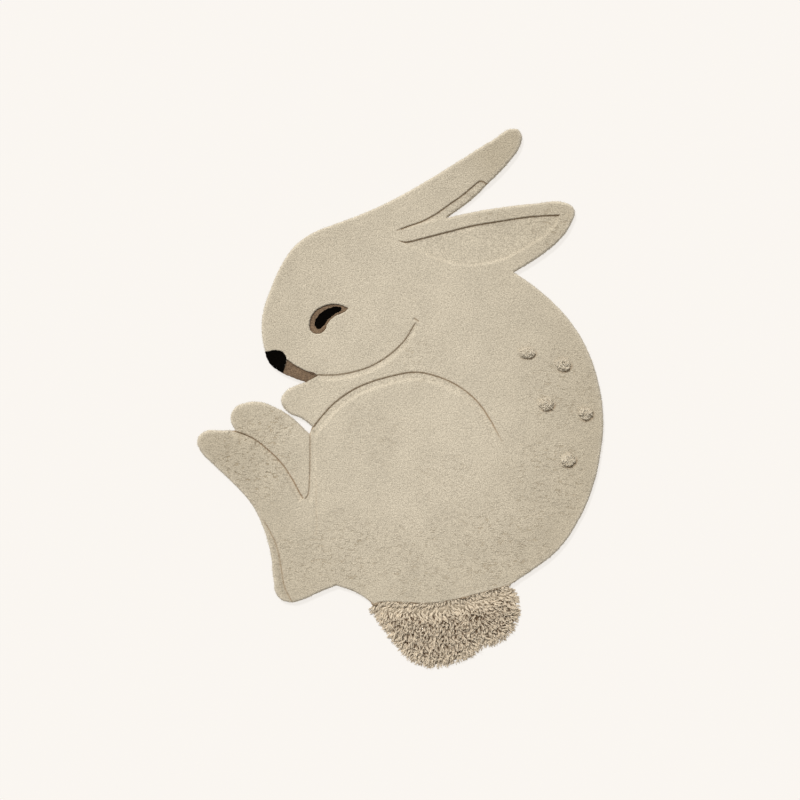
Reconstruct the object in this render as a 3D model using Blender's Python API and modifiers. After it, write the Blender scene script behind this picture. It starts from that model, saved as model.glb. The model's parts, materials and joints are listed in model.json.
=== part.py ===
"""A rabbit-shaped tufted wool rug, lying flat on the floor.

Metres, +Z up. The origin is on the floor under the middle of the rug, +Y runs
from the tail to the ears, and the rabbit faces -X. Landmarks are given in
centimetres from the middle, as a maker would mark them on the canvas.
"""

import math

import bpy
import bmesh
from mathutils import Vector, noise

# Driving sizes, in metres
RUG_LENGTH = 1.200
DRAWN_LENGTH = 120.0
CM = RUG_LENGTH / DRAWN_LENGTH
CLEARANCE = 0.0003

CANVAS_TOP = 0.003
PILE_TOP = 0.015
RIM_ROUND = 0.007
ABOVE_ALL = 0.040
CURVE_STEPS = 5

CARVE_DEPTH = 0.006
CARVE_FLOOR = 0.008
CARVE_REACH = 0.022
EAR_RECESS = 0.0045

TAN_TOP = 0.0115
EYE_TOP = 0.0125
NOSE_TOP = 0.0145

TUFT_RISE = 0.010
TUFT_STEM = 0.007
TUFT_LUMPS = 0.20

TAIL_TOP = 0.025
TAIL_ROUND = 0.009
TAIL_VOXEL = 0.0095
TAIL_LUMPS = 0.0035
LUMP_WIDTH = 0.028
LOCK_REACH = 0.013
LOCK_ROOT = 0.0055
LOCK_PITCH = 0.0125
LOCK_DROOP = 0.3
LOCK_TIERS = (0.0055, 0.0155)
LOCK_SETS = 3

# The edge of the rabbit without its tail, clockwise from the far ear's tip.
# Columns: landmark, x in cm, y in cm, and whether the edge turns sharply there.
SMOOTH, SHARP = False, True
RABBIT_EDGE = [
    ("far ear tip", 25.6, 60.0, SMOOTH),
    ("far ear tip", 26.9, 58.7, SMOOTH),
    ("far ear", 26.7, 56.6, SMOOTH),
    ("far ear", 24.8, 53.5, SMOOTH),
    ("far ear", 19.3, 47.7, SMOOTH),
    ("far ear", 15.9, 44.4, SMOOTH),
    ("between the ears", 10.2, 40.2, SHARP),
    ("near ear", 15.1, 41.3, SMOOTH),
    ("near ear", 22.1, 42.5, SMOOTH),
    ("near ear", 29.9, 43.4, SMOOTH),
    ("near ear tip", 36.6, 43.6, SMOOTH),
    ("near ear tip", 38.6, 42.1, SMOOTH),
    ("near ear", 37.9, 39.1, SMOOTH),
    ("near ear", 35.9, 36.0, SMOOTH),
    ("near ear", 31.7, 32.3, SMOOTH),
    ("ear meets back", 25.2, 28.2, SHARP),
    ("back", 29.7, 25.1, SMOOTH),
    ("back", 34.5, 20.9, SMOOTH),
    ("back", 38.3, 16.5, SMOOTH),
    ("back", 41.4, 11.2, SMOOTH),
    ("back", 43.8, 4.3, SMOOTH),
    ("back, widest", 45.0, -3.8, SMOOTH),
    ("back", 44.5, -11.2, SMOOTH),
    ("back", 42.7, -19.4, SMOOTH),
    ("back", 39.4, -27.0, SMOOTH),
    ("back", 35.0, -33.3, SMOOTH),
    ("back", 29.9, -37.4, SMOOTH),
    ("tail seam, right", 24.1, -41.2, SHARP),
    ("tail seam", 20.8, -42.1, SMOOTH),
    ("tail seam", 16.8, -43.2, SMOOTH),
    ("tail seam", 12.2, -44.3, SMOOTH),
    ("tail seam", 7.1, -45.1, SMOOTH),
    ("tail seam", 1.1, -45.0, SMOOTH),
    ("tail seam", -3.5, -44.8, SMOOTH),
    ("tail seam, left", -5.9, -45.3, SHARP),
    ("rump", -8.4, -43.5, SMOOTH),
    ("rump", -11.3, -42.1, SMOOTH),
    ("rump meets heel", -14.2, -41.2, SHARP),
    ("heel", -18.2, -42.8, SMOOTH),
    ("heel", -21.5, -44.3, SMOOTH),
    ("heel", -24.6, -44.9, SMOOTH),
    ("heel", -27.1, -43.6, SMOOTH),
    ("heel", -28.0, -40.0, SMOOTH),
    ("sole", -28.6, -34.4, SMOOTH),
    ("sole", -30.1, -28.9, SMOOTH),
    ("sole", -33.0, -23.0, SMOOTH),
    ("sole", -37.0, -18.5, SMOOTH),
    ("sole", -41.2, -14.5, SMOOTH),
    ("far toes", -44.3, -11.2, SMOOTH),
    ("far toes", -44.9, -8.9, SMOOTH),
    ("far toes", -43.2, -7.1, SMOOTH),
    ("far foot", -40.1, -6.9, SMOOTH),
    ("between the feet", -36.5, -6.9, SHARP),
    ("near toes", -37.5, -4.5, SMOOTH),
    ("near toes", -36.7, -2.0, SMOOTH),
    ("near toes", -34.3, -0.8, SMOOTH),
    ("near foot", -31.0, -0.6, SMOOTH),
    ("near foot", -27.7, -1.8, SMOOTH),
    ("near foot", -24.4, -3.7, SMOOTH),
    ("foot meets belly", -20.1, -7.7, SHARP),
    ("belly meets paw", -19.4, -6.0, SHARP),
    ("paw", -21.5, -4.3, SMOOTH),
    ("paw", -24.6, -2.9, SMOOTH),
    ("paw", -26.3, -0.5, SMOOTH),
    ("paw", -25.6, 1.5, SMOOTH),
    ("paw", -23.2, 3.0, SMOOTH),
    ("paw meets chin", -20.7, 3.9, SHARP),
    ("chin", -23.5, 4.9, SMOOTH),
    ("chin", -26.6, 6.3, SMOOTH),
    ("nose", -28.8, 8.1, SMOOTH),
    ("nose", -29.8, 10.5, SMOOTH),
    ("face", -30.6, 14.8, SMOOTH),
    ("face", -30.3, 19.4, SMOOTH),
    ("brow", -28.7, 24.3, SMOOTH),
    ("brow", -26.6, 29.1, SMOOTH),
    ("forehead", -23.5, 33.8, SMOOTH),
    ("forehead", -19.3, 36.9, SMOOTH),
    ("crown", -13.7, 39.1, SMOOTH),
    ("crown", -7.7, 41.4, SMOOTH),
    ("far ear", -1.1, 44.5, SMOOTH),
    ("far ear", 5.5, 48.2, SMOOTH),
    ("far ear", 13.3, 53.0, SMOOTH),
    ("far ear", 20.4, 57.4, SMOOTH),
]

# The edge of the shag tail, from the seam's right end round to its left end.
TAIL_EDGE = [
    ("seam, right", 23.4, -40.6, SMOOTH),
    ("tail", 24.9, -43.0, SMOOTH),
    ("tail", 25.7, -45.6, SMOOTH),
    ("tail", 25.5, -48.7, SMOOTH),
    ("tail", 23.7, -52.0, SMOOTH),
    ("tail", 19.4, -54.9, SMOOTH),
    ("tail", 15.2, -57.0, SMOOTH),
    ("tail tip", 9.6, -58.5, SMOOTH),
    ("tail tip", 6.0, -58.6, SMOOTH),
    ("tail", 2.6, -57.2, SMOOTH),
    ("tail", -0.3, -54.3, SMOOTH),
    ("tail", -3.1, -50.3, SMOOTH),
    ("tail", -5.6, -47.0, SMOOTH),
    ("seam, left", -5.0, -43.6, SMOOTH),
    ("under the body", 9.0, -41.6, SMOOTH),
]

# Inlaid areas of other yarn, each a closed outline.
EYE_RING = [
    ("outer corner", -11.3, 20.2, SHARP),
    ("lower lid", -12.5, 19.3, SMOOTH),
    ("lower lid", -14.7, 18.2, SMOOTH),
    ("lower lid", -16.0, 16.8, SMOOTH),
    ("inner corner", -16.8, 15.2, SMOOTH),
    ("inner corner", -18.2, 14.5, SMOOTH),
    ("inner corner", -19.7, 15.1, SMOOTH),
    ("upper lid", -20.1, 16.8, SMOOTH),
    ("upper lid", -19.5, 18.7, SMOOTH),
    ("upper lid", -17.9, 20.3, SMOOTH),
    ("upper lid", -15.6, 21.1, SMOOTH),
    ("upper lid", -13.2, 21.0, SMOOTH),
]
EYE = [
    ("outer end", -13.0, 20.1, SMOOTH),
    ("lower edge", -14.3, 19.1, SMOOTH),
    ("lower edge", -15.9, 17.9, SMOOTH),
    ("lower edge", -17.0, 16.4, SMOOTH),
    ("inner end", -18.0, 15.7, SMOOTH),
    ("inner end", -18.8, 16.5, SMOOTH),
    ("upper edge", -18.4, 18.0, SMOOTH),
    ("upper edge", -17.3, 19.3, SMOOTH),
    ("upper edge", -15.5, 20.2, SMOOTH),
    ("upper edge", -13.8, 20.5, SMOOTH),
]
NOSE = [
    ("bridge", -29.5, 10.6, SHARP),
    ("bridge", -27.9, 10.9, SMOOTH),
    ("bridge", -26.2, 10.8, SHARP),
    ("side", -25.3, 9.7, SMOOTH),
    ("side", -25.1, 8.9, SHARP),
    ("lip", -26.1, 5.6, SHARP),
    ("past the rim", -30.5, 5.0, SHARP),
    ("past the rim", -32.0, 10.2, SHARP),
]
MOUTH = [
    ("nose side", -25.1, 8.9, SHARP),
    ("upper lip", -22.8, 7.4, SMOOTH),
    ("upper lip", -20.8, 6.4, SMOOTH),
    ("upper lip", -18.9, 5.8, SMOOTH),
    ("corner", -18.2, 5.2, SHARP),
    ("lower lip", -19.6, 4.5, SMOOTH),
    ("lower lip", -20.7, 3.9, SHARP),
    ("past the rim", -24.0, 3.8, SHARP),
    ("past the rim", -27.5, 4.3, SHARP),
    ("lip", -26.1, 5.6, SHARP),
]

# Areas that are sheared lower as a whole.
FAR_EAR_RECESS = [
    ("root", -1.2, 37.3, SHARP),
    ("upper side", 1.8, 38.5, SMOOTH),
    ("upper side", 4.9, 39.6, SMOOTH),
    ("upper side", 8.0, 41.3, SMOOTH),
    ("upper side", 11.1, 43.5, SMOOTH),
    ("upper side", 13.7, 45.3, SMOOTH),
    ("upper side", 16.2, 47.4, SMOOTH),
    ("end", 17.9, 48.5, SMOOTH),
    ("end", 19.3, 47.9, SHARP),
    ("past the rim", 20.8, 46.2, SHARP),
    ("past the rim", 12.6, 41.3, SHARP),
    ("between the ears", 10.2, 40.3, SHARP),
    ("lower side", 6.2, 39.3, SMOOTH),
    ("lower side", 2.2, 38.1, SMOOTH),
]
NEAR_EAR_RECESS = [
    ("root", -0.5, 35.3, SHARP),
    ("upper side", 1.4, 35.0, SMOOTH),
    ("upper side", 4.9, 35.8, SMOOTH),
    ("upper side", 10.0, 37.1, SMOOTH),
    ("upper side", 15.5, 38.5, SMOOTH),
    ("upper side", 22.1, 39.6, SMOOTH),
    ("upper side", 28.8, 40.6, SMOOTH),
    ("end", 35.4, 41.0, SHARP),
    ("lower side", 34.8, 39.1, SMOOTH),
    ("lower side", 32.8, 36.6, SMOOTH),
    ("lower side", 29.2, 34.2, SMOOTH),
    ("lower side", 25.5, 32.1, SMOOTH),
    ("lower side", 22.1, 30.6, SMOOTH),
    ("lower side", 17.7, 29.7, SMOOTH),
    ("lower side", 12.8, 29.8, SMOOTH),
    ("lower side", 8.2, 31.0, SMOOTH),
    ("lower side", 3.3, 33.3, SMOOTH),
]

# Carved lines. Each has a steep wall along the line itself, and a bevel that
# climbs back to the pile on the right-hand side of its direction.
CHEEK_LINE = [
    ("lip", -18.4, 5.5, SMOOTH),
    ("cheek", -14.4, 5.5, SMOOTH),
    ("cheek", -10.6, 6.1, SMOOTH),
    ("cheek", -6.6, 7.4, SMOOTH),
    ("cheek", -2.7, 9.7, SMOOTH),
    ("cheek", 0.7, 12.8, SMOOTH),
    ("cheek", 2.4, 15.4, SMOOTH),
    ("cheek end", 3.6, 17.4, SMOOTH),
]
HAUNCH_LINE = [
    ("belly", -20.2, -7.3, SMOOTH),
    ("belly", -17.7, -4.1, SMOOTH),
    ("haunch", -15.3, -1.4, SMOOTH),
    ("haunch", -12.2, 1.1, SMOOTH),
    ("haunch", -8.4, 3.2, SMOOTH),
    ("haunch", -3.3, 4.9, SMOOTH),
    ("haunch, top", 3.3, 6.1, SMOOTH),
    ("haunch", 8.4, 5.1, SMOOTH),
    ("haunch", 13.3, 2.8, SMOOTH),
    ("haunch", 17.3, -0.6, SMOOTH),
    ("haunch", 20.1, -4.6, SMOOTH),
    ("haunch", 22.1, -8.3, SMOOTH),
    ("haunch end", 23.7, -10.7, SMOOTH),
]
FOOT_LINE = [
    ("between the feet", -37.6, -6.6, SMOOTH),
    ("far foot", -32.8, -8.4, SMOOTH),
    ("far foot", -29.2, -11.1, SMOOTH),
    ("far foot", -26.1, -14.2, SMOOTH),
    ("far foot", -23.7, -17.8, SMOOTH),
    ("ankle", -22.1, -20.8, SMOOTH),
    ("ankle", -21.1, -22.1, SMOOTH),
    ("ankle", -20.4, -20.9, SMOOTH),
    ("belly", -20.1, -17.4, SMOOTH),
    ("belly", -20.0, -12.3, SMOOTH),
    ("belly", -20.0, -6.3, SMOOTH),
]
HEEL_LINE = [
    ("sole", -30.9, -25.6, SMOOTH),
    ("sole", -28.8, -29.1, SMOOTH),
    ("sole", -27.2, -32.7, SMOOTH),
    ("sole", -26.3, -37.1, SMOOTH),
    ("heel", -25.5, -41.5, SMOOTH),
    ("heel", -24.0, -44.6, SMOOTH),
]

# Raised tufts on the back. Columns: name, x and y in cm, width and depth in mm.
BACK_TUFTS = [
    ("back_tuft_1", 28.1, 10.3, 36, 24),
    ("back_tuft_2", 36.1, 7.7, 34, 29),
    ("back_tuft_3", 32.4, -1.0, 35, 28),
    ("back_tuft_4", 41.1, -3.1, 32, 29),
    ("back_tuft_5", 37.2, -13.3, 34, 31),
]

# Colours as linear red, green and blue
OATMEAL = (0.60, 0.53, 0.41)
SHAG = (0.50, 0.43, 0.33)
TAN = (0.21, 0.14, 0.085)
BLACK = (0.006, 0.005, 0.004)


def clear_scene():
    for obj in list(bpy.data.objects):
        bpy.data.objects.remove(obj)


def new_collection(name):
    collection = bpy.data.collections.new(name)
    bpy.context.scene.collection.children.link(collection)
    return collection


def wool(name, colour):
    """Cut wool pile: fully rough, not metallic."""
    material = bpy.data.materials.new(name)
    material.use_nodes = True
    shader = material.node_tree.nodes["Principled BSDF"]
    shader.inputs["Base Color"].default_value = (*colour, 1.0)
    shader.inputs["Roughness"].default_value = 0.95
    shader.inputs["Metallic"].default_value = 0.0
    return material


def spline_through(data, landmarks, closed):
    """A smooth Bezier spline through the landmarks, broken where one is sharp."""
    spline = data.splines.new("BEZIER")
    spline.bezier_points.add(len(landmarks) - 1)
    spline.use_cyclic_u = closed
    for point, (_, x, y, sharp) in zip(spline.bezier_points, landmarks):
        point.co = (x * CM, y * CM, 0.0)
        handle = "VECTOR" if sharp else "AUTO"
        point.handle_left_type = handle
        point.handle_right_type = handle
    return spline


def mesh_of(curve_object, collection):
    """Turns a curve object into a mesh object with welded caps."""
    bpy.context.scene.collection.objects.link(curve_object)
    bpy.context.view_layer.update()
    graph = bpy.context.evaluated_depsgraph_get()
    mesh = bpy.data.meshes.new_from_object(curve_object.evaluated_get(graph))
    name = curve_object.name
    matrix = curve_object.matrix_world.copy()
    bpy.data.objects.remove(curve_object)
    mesh.name = name
    bm = bmesh.new()
    bm.from_mesh(mesh)
    bmesh.ops.remove_doubles(bm, verts=bm.verts, dist=1e-5)
    bmesh.ops.recalc_face_normals(bm, faces=bm.faces)
    bm.to_mesh(mesh)
    bm.free()
    obj = bpy.data.objects.new(name, mesh)
    obj.matrix_world = matrix
    collection.objects.link(obj)
    return obj


def flat_piece(name, landmarks, bottom, top, collection, shrink=0.0):
    """A slab with the outline through the landmarks, from one height to another."""
    data = bpy.data.curves.new(name, "CURVE")
    data.dimensions = "2D"
    data.fill_mode = "BOTH"
    data.resolution_u = CURVE_STEPS
    data.extrude = (top - bottom) / 2
    data.offset = -shrink
    spline_through(data, landmarks, closed=True)
    obj = bpy.data.objects.new(name, data)
    obj.location.z = (top + bottom) / 2
    return mesh_of(obj, collection)


def round_rim(obj, width, segments):
    """Rounds the upper rim of a flat piece."""
    bm = bmesh.new()
    bm.from_mesh(obj.data)
    upper = [face for face in bm.faces if face.normal.z > 0.5]
    bmesh.ops.dissolve_faces(bm, faces=upper)
    weights = bm.edges.layers.float.new("bevel_weight_edge")
    for face in bm.faces:
        if face.normal.z > 0.5:
            for edge in face.edges:
                edge[weights] = 1.0
    bm.to_mesh(obj.data)
    bm.free()
    bevel = obj.modifiers.new("Rounded rim", "BEVEL")
    bevel.limit_method = "WEIGHT"
    bevel.width = width
    bevel.segments = segments
    bevel.use_clamp_overlap = False
    apply_modifiers(obj)
    leftover = obj.data.attributes.get("bevel_weight_edge")
    if leftover:
        obj.data.attributes.remove(leftover)


def apply_modifiers(obj):
    bpy.context.view_layer.update()
    graph = bpy.context.evaluated_depsgraph_get()
    mesh = bpy.data.meshes.new_from_object(obj.evaluated_get(graph))
    obj.modifiers.clear()
    obj.data = mesh


def as_cutter(obj):
    obj.hide_render = True
    obj.display_type = "WIRE"
    return obj


def boolean(target, operation, other):
    modifier = target.modifiers.new(f"{operation.title()} {other.name}", "BOOLEAN")
    modifier.operation = operation
    modifier.object = other


def carving_profile(name, depth, floor, reach):
    """The section of a carved line: a steep wall, a short floor and a long bevel."""
    over = 0.004
    corners = [
        (0.0, over),
        (0.0005, -depth),
        (floor, -depth),
        (reach * 0.7, -depth * 0.45),
        (reach, 0.0005),
        (reach, over),
    ]
    data = bpy.data.curves.new(name, "CURVE")
    data.dimensions = "2D"
    spline = data.splines.new("POLY")
    spline.points.add(len(corners) - 1)
    spline.use_cyclic_u = True
    for point, (side, up) in zip(spline.points, corners):
        point.co = (side, up, 0.0, 1.0)
    return bpy.data.objects.new(name, data)


def carving(name, line, cutters, scale=1.0, fade_in=False, fade_out=True):
    """A cutter swept along a carved line, thinner where the line fades."""
    profile = carving_profile(
        name + "_section", CARVE_DEPTH * min(1.0, scale + 0.2), CARVE_FLOOR * scale, CARVE_REACH * scale
    )
    bpy.context.scene.collection.objects.link(profile)
    data = bpy.data.curves.new(name, "CURVE")
    data.dimensions = "2D"
    data.resolution_u = CURVE_STEPS
    data.bevel_mode = "OBJECT"
    data.bevel_object = profile
    data.use_fill_caps = True
    points = spline_through(data, line, closed=False).bezier_points
    if fade_in:
        points[0].radius = 0.3
    if fade_out:
        points[-2].radius = 0.8
        points[-1].radius = 0.3
    obj = bpy.data.objects.new(name, data)
    obj.location.z = PILE_TOP
    cutter = mesh_of(obj, cutters)
    bpy.data.objects.remove(profile)
    return as_cutter(cutter)


def stem_pocket(name, x, y, cutters):
    bpy.ops.mesh.primitive_cylinder_add(
        vertices=16,
        radius=TUFT_STEM + CLEARANCE,
        depth=ABOVE_ALL - CANVAS_TOP,
        location=(x * CM, y * CM, (ABOVE_ALL + CANVAS_TOP) / 2),
    )
    return take(name, cutters)


def take(name, collection):
    """Names the object that an operator just made, and moves it to its collection."""
    obj = bpy.context.object
    obj.name = name
    for holder in list(obj.users_collection):
        holder.objects.unlink(obj)
    collection.objects.link(obj)
    return obj


def back_tuft(name, x, y, width_mm, depth_mm, rug, cutters):
    """A lumpy knot of long yarn that stands on the pile, with its stem in the canvas."""
    base = PILE_TOP + CLEARANCE
    bpy.ops.mesh.primitive_ico_sphere_add(subdivisions=3, radius=1.0)
    head = take(name, rug)
    half = Vector((width_mm, depth_mm)) * 0.0005
    for vertex in head.data.vertices:
        at = vertex.co.copy()
        lump = 1.0 + TUFT_LUMPS * noise.noise(at * 2.1 + Vector((x, y, 0.0)))
        height = max(at.z, 0.0) * TUFT_RISE * lump
        vertex.co = (at.x * half.x * lump, at.y * half.y * lump, height)
    head.location = (x * CM, y * CM, base)
    bpy.ops.mesh.primitive_cylinder_add(
        vertices=16,
        radius=TUFT_STEM,
        depth=PILE_TOP - CANVAS_TOP + TUFT_RISE / 2,
        location=(x * CM, y * CM, (CANVAS_TOP + CLEARANCE + base + TUFT_RISE / 2) / 2),
    )
    stem = as_cutter(take(name + "_stem", cutters))
    boolean(head, "UNION", stem)
    return head


def tail_lock(bm, root, outward, reach, droop, turn):
    """One pointed lock of yarn, four-sided, from its root inside the tail to its tip."""
    side = Vector((-outward.y, outward.x, 0.0))
    rings = []
    for share, thick in ((0.0, 1.0), (0.5, 1.0), (0.82, 0.75), (1.0, 0.35)):
        bend = side * turn * share * share
        centre = root + outward * reach * share + bend - Vector((0, 0, droop * share * share))
        half = LOCK_ROOT * thick
        corners = [
            centre + side * half,
            centre + Vector((0, 0, half * 0.8)),
            centre - side * half,
            centre - Vector((0, 0, half * 0.8)),
        ]
        rings.append([bm.verts.new(corner) for corner in corners])
    for low, high in zip(rings, rings[1:]):
        for i in range(4):
            j = (i + 1) % 4
            bm.faces.new((low[i], low[j], high[j], high[i]))
    bm.faces.new(rings[0][::-1])
    bm.faces.new(rings[-1])


def edge_walk(landmarks, step):
    """Points at even steps along the open line through the landmarks, with outward directions."""
    points = [Vector((x * CM, y * CM, 0.0)) for _, x, y, _ in landmarks]
    lengths = [(b - a).length for a, b in zip(points, points[1:])]
    count = int(sum(lengths) / step)
    for i in range(count + 1):
        along = sum(lengths) * i / count
        for a, b, length in zip(points, points[1:], lengths):
            if along <= length:
                break
            along -= length
        ahead = (b - a).normalized()
        yield a + ahead * along, Vector((-ahead.y, ahead.x, 0.0))


def tail_locks(tier, first, cutters):
    """Every third pointed lock of one tier, so that none in the set touch each other."""
    bm = bmesh.new()
    rim = [row for row in TAIL_EDGE if row[0].startswith("tail")]
    height = LOCK_TIERS[tier]
    for i, (at, outward) in enumerate(edge_walk(rim, LOCK_PITCH)):
        if i % LOCK_SETS != first:
            continue
        vary = noise.noise(Vector((i * 1.7, tier * 9.1, 0.5)))
        twist = noise.noise(Vector((i * 2.3, tier * 5.7, 7.5)))
        reach = LOCK_REACH * (2.35 + 0.5 * vary - 0.15 * tier)
        droop = (height - LOCK_ROOT) * LOCK_DROOP
        root = at - outward * LOCK_REACH * 1.5 + Vector((0, 0, height))
        tail_lock(bm, root, outward, reach, droop, LOCK_PITCH * 0.6 * twist)
    bmesh.ops.recalc_face_normals(bm, faces=bm.faces)
    mesh = bpy.data.meshes.new(f"locks_{tier}_{first}")
    bm.to_mesh(mesh)
    bm.free()
    locks = bpy.data.objects.new(mesh.name, mesh)
    cutters.objects.link(locks)
    return as_cutter(locks)


def tail(rug, cutters):
    """The shag tail: one lumpy slab with locks round its rim, cut along the seam."""
    obj = flat_piece("tail_shag", TAIL_EDGE, 0.0, TAIL_TOP - TAIL_LUMPS, rug)
    round_rim(obj, TAIL_ROUND, 3)
    remesh = obj.modifiers.new("Even cells", "REMESH")
    remesh.mode = "VOXEL"
    remesh.voxel_size = TAIL_VOXEL
    apply_modifiers(obj)
    middle = obj.location.z
    for vertex in obj.data.vertices:
        height = vertex.co.z + middle
        if height < TAIL_TOP * 0.35:
            vertex.co.z = max(vertex.co.z, -middle) if height > 0.001 else -middle
            continue
        at = Vector((vertex.co.x, vertex.co.y, 0.0)) / LUMP_WIDTH
        lump = noise.noise(at) + 0.6 * noise.noise(at * 2.0)
        vertex.co.z += TAIL_LUMPS * 1.5 * lump * min(1.0, height / TAIL_TOP)
    for tier in range(len(LOCK_TIERS)):
        for first in range(LOCK_SETS):
            boolean(obj, "UNION", tail_locks(tier, first, cutters))
    seam = [row for row in RABBIT_EDGE if row[0].startswith("tail seam")]
    line = [(name, x, y - CLEARANCE / CM, sharp) for name, x, y, sharp in seam]
    around = [
        ("left", -12.0, line[-1][2] + 0.6, SHARP),
        ("above", -12.0, -34.0, SHARP),
        ("above", 32.0, -34.0, SHARP),
        ("right", 32.0, line[0][2] + 0.8, SHARP),
    ]
    body_side = flat_piece("seam_cutter", line + around, -0.01, ABOVE_ALL + 0.01, cutters)
    boolean(obj, "DIFFERENCE", as_cutter(body_side))
    return obj


def main():
    clear_scene()
    rug = new_collection("rabbit_rug")
    cutters = new_collection("cutters")
    oatmeal = wool("oatmeal_pile", OATMEAL)
    shag = wool("tail_shag", SHAG)
    tan = wool("tan_pile", TAN)
    black = wool("black_pile", BLACK)

    body = flat_piece("rabbit_pile", RABBIT_EDGE, 0.0, PILE_TOP, rug)
    round_rim(body, RIM_ROUND, 3)
    blank = as_cutter(body.copy())
    blank.name = "uncut_pile"
    blank.data = body.data.copy()
    cutters.objects.link(blank)

    pockets = [
        ("far_ear_pocket", FAR_EAR_RECESS, PILE_TOP - EAR_RECESS),
        ("near_ear_pocket", NEAR_EAR_RECESS, PILE_TOP - EAR_RECESS),
        ("eye_pocket", EYE_RING, CANVAS_TOP),
        ("nose_pocket", NOSE, CANVAS_TOP),
        ("mouth_pocket", MOUTH, CANVAS_TOP),
    ]
    for name, outline, floor in pockets:
        cutter = flat_piece(name, outline, floor, ABOVE_ALL, cutters, shrink=-CLEARANCE / 2)
        boolean(body, "DIFFERENCE", as_cutter(cutter))
    carvings = [
        carving("cheek_carving", CHEEK_LINE, cutters),
        carving("haunch_carving", HAUNCH_LINE, cutters),
        carving("foot_carving", FOOT_LINE, cutters, scale=0.8, fade_out=False),
        carving("heel_carving", HEEL_LINE, cutters, scale=0.45, fade_in=True, fade_out=False),
    ]
    for cutter in carvings:
        boolean(body, "DIFFERENCE", cutter)

    standing = CANVAS_TOP + CLEARANCE
    inner = CLEARANCE / 2
    eye_ring = flat_piece("eye_ring_pile", EYE_RING, standing, TAN_TOP, rug, shrink=inner)
    eye_well = flat_piece("eye_well", EYE, standing + 0.001, ABOVE_ALL, cutters, shrink=-inner)
    boolean(eye_ring, "DIFFERENCE", as_cutter(eye_well))
    eye = flat_piece("eye_pile", EYE, standing + 0.001 + CLEARANCE, EYE_TOP, rug, shrink=inner)
    nose = flat_piece("nose_pile", NOSE, standing, NOSE_TOP, rug, shrink=inner)
    mouth = flat_piece("mouth_pile", MOUTH, standing, TAN_TOP, rug, shrink=inner)
    for piece in (nose, mouth):
        boolean(piece, "INTERSECT", blank)

    tail_piece = tail(rug, cutters)
    tufts = []
    for name, x, y, width_mm, depth_mm in BACK_TUFTS:
        pocket = stem_pocket(name + "_pocket", x, y, cutters)
        boolean(body, "DIFFERENCE", as_cutter(pocket))
        tufts.append(back_tuft(name, x, y, width_mm, depth_mm, rug, cutters))

    finishes = [(oatmeal, [body, *tufts]), (shag, [tail_piece]), (tan, [eye_ring, mouth]), (black, [eye, nose])]
    for material, pieces in finishes:
        for piece in pieces:
            apply_modifiers(piece)
            piece.data.materials.clear()
            piece.data.materials.append(material)
            piece.data.shade_smooth()
            piece.data.set_sharp_from_angle(angle=math.radians(35))


main()
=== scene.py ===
# %% [markdown]
# # A rabbit-shaped tufted rug
#
# The object is a flat wool rug for a child's room, cut to the shape of a sleeping
# rabbit. On the real rug a worker shoots yarn through a canvas with a tufting gun,
# glues the back, shears the pile flat and then carves lines into it with small
# electric clippers. The tail is left as long loose shag.
#
# The CAD model holds the outline and the main steps of the relief. This script adds
# a carved pile fine enough to show grain, loose fibres, long yarn and wool.

# %% Load the frame
import json

import bpy
import numpy as np
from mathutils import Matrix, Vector, geometry, noise

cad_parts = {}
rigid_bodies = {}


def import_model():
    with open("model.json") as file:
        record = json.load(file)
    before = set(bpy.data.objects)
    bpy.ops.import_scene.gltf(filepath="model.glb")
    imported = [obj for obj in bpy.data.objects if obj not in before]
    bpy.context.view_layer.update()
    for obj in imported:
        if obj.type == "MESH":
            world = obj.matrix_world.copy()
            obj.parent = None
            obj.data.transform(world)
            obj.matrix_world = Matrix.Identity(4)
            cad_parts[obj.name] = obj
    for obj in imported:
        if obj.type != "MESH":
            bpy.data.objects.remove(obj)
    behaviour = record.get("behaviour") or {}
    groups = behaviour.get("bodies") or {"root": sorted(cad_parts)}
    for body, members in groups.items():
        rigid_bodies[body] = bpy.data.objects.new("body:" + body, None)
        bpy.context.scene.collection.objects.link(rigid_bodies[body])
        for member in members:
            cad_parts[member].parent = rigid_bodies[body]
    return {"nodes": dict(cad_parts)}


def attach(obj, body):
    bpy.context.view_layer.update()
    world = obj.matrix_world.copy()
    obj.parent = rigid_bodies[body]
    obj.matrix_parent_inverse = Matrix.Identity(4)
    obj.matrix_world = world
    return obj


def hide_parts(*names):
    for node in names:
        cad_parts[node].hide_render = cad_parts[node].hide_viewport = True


for obj in list(bpy.data.objects):
    bpy.data.objects.remove(obj)
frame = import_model()
add_to_scene = bpy.context.scene.collection.objects.link
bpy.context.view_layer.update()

# %% [markdown]
# ## Sizes
#
# Everything is in metres, with the floor at zero height and +Y from tail to ears.
# Landmarks are in centimetres, because that is how a maker would mark a canvas.

# %% Named sizes
CM = 0.01
MM = 0.001
PILE_FOOT = 2.2 * MM
PILE_TOP = 15.0 * MM
random = np.random.default_rng(7)
print("pile height, mm:", round((PILE_TOP - PILE_FOOT) / MM, 1))

# %% [markdown]
# ## Lines drawn on the canvas
#
# Each carved line is a few landmarks with a smooth curve through them. The clipper
# leaves a steep wall on the line, and on its right a low floor and a slope back to
# the full pile. Depths, reaches and fades are in millimetres.

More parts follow.
